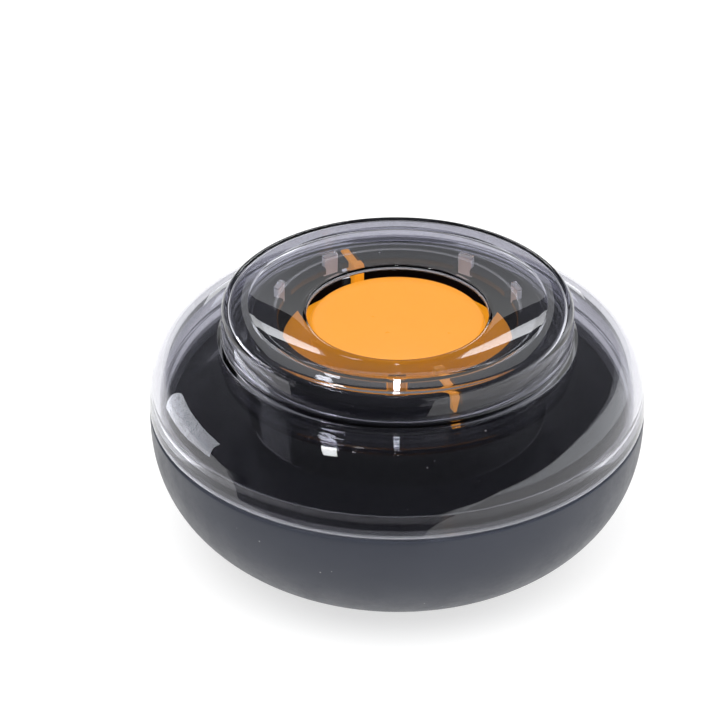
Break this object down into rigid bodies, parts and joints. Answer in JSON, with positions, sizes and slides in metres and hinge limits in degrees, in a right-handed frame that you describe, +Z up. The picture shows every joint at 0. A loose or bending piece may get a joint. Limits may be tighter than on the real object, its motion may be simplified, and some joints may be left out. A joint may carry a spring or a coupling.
{
  "type": "quiz buzzer",
  "caption": "Round tabletop quiz buzzer: dark bowl base, clear domed top with a raised clear collar, and an orange push button that sounds when pressed.",
  "frame": {"origin": "on the buzzer's axis, on the surface that its rubber feet stand on", "axes": "+Z up along the axis and the button's travel; -Y is the front; in the underside, the speaker grille, record button and power switch lie towards -Y, and the battery door's screw towards +Y"},
  "size_m": [0.088, 0.088, 0.0471],
  "materials": {
    "base_plastic": "satin moulded plastic, dark slate grey",
    "deck_plastic": "black moulded plastic, softly glossy",
    "clear_plastic": "clear polished plastic",
    "button_orange": "smooth opaque orange plastic",
    "pale_plastic": "natural moulded plastic",
    "black_plastic": "matt black",
    "record_red": "satin",
    "spring_steel": "drawn wire, nickel plated",
    "screw_steel": "zinc plated",
    "switch_metal": "pressed plated steel",
    "speaker_steel": "pressed steel",
    "cone_paper": "pressed black paper",
    "board_green": "green solder mask",
    "capacitor_sleeve": "shrink sleeve",
    "cell_sleeve": "printed sleeve, plain",
    "foot_rubber": "matt",
    "lead_red": "soft wire jacket",
    "lead_black": "soft wire jacket"
  },
  "bodies": {
    "housing": {"base_bowl": "base_plastic", "battery_door": "base_plastic", "inner_deck": "deck_plastic", "clear_dome": "clear_plastic", "clear_collar": "clear_plastic", "battery_cell_1": "cell_sleeve", "battery_cell_2": "cell_sleeve", "battery_door_screw": "screw_steel", "battery_lead_black": "lead_black", "battery_lead_red": "lead_red", "battery_tray": "deck_plastic", "board_screw_1": "screw_steel", "board_screw_2": "screw_steel", "board_screw_3": "screw_steel", "capacitor": "capacitor_sleeve", "circuit_board": "board_green", "contact_plate_1": "spring_steel", "contact_plate_2": "spring_steel", "contact_spring_1": "spring_steel", "contact_spring_2": "spring_steel", "housing_screw_1": "screw_steel", "housing_screw_2": "screw_steel", "housing_screw_3": "screw_steel", "main_switch_body": "switch_metal", "microphone": "switch_metal", "microphone_lead_black": "lead_black", "microphone_lead_red": "lead_red", "power_lead_black": "lead_black", "power_lead_red": "lead_red", "power_switch_body": "switch_metal", "record_switch_body": "switch_metal", "resistor_1": "black_plastic", "resistor_2": "black_plastic", "resistor_3": "black_plastic", "return_spring": "spring_steel", "rubber_foot_1": "foot_rubber", "rubber_foot_2": "foot_rubber", "rubber_foot_3": "foot_rubber", "rubber_foot_4": "foot_rubber", "sound_chip": "black_plastic", "speaker_cone": "cone_paper", "speaker_frame": "speaker_steel", "speaker_lead_black": "lead_black", "speaker_lead_red": "lead_red", "speaker_magnet": "speaker_steel"},
    "button": {"button_cap": "button_orange", "button_plunger": "pale_plastic"},
    "main_switch_button": {"main_switch_button": "black_plastic"},
    "record_button": {"record_button": "record_red"},
    "record_switch_button": {"record_switch_button": "black_plastic"},
    "power_knob": {"power_switch_knob": "pale_plastic"}
  },
  "joints": [
    {"name": "button_press", "type": "slide", "parent": "housing", "child": "button", "axis": [0, 0, -1], "range_m": [0, 0.0015], "stiffness_N_per_m": 400, "springref_m": -0.003, "deforming": ["return_spring"]},
    {"name": "main_switch_press", "type": "slide", "parent": "housing", "child": "main_switch_button", "axis": [0, 0, -1], "range_m": [0, 0.0003]},
    {"name": "record_press", "type": "slide", "parent": "housing", "child": "record_button", "axis": [0, 0, 1], "range_m": [0, 0.001], "stiffness_N_per_m": 300, "springref_m": -0.0015},
    {"name": "record_switch_press", "type": "slide", "parent": "housing", "child": "record_switch_button", "axis": [0, 0, 1], "range_m": [0, 0.0003]},
    {"name": "power_slide", "type": "slide", "parent": "housing", "child": "power_knob", "axis": [0, 1, 0], "range_m": [0, 0.002]}
  ],
  "couplings": [
    {"joint": "main_switch_press", "follows": "button_press", "ratio": 0.2},
    {"joint": "record_switch_press", "follows": "record_press", "ratio": 0.3}
  ]
}
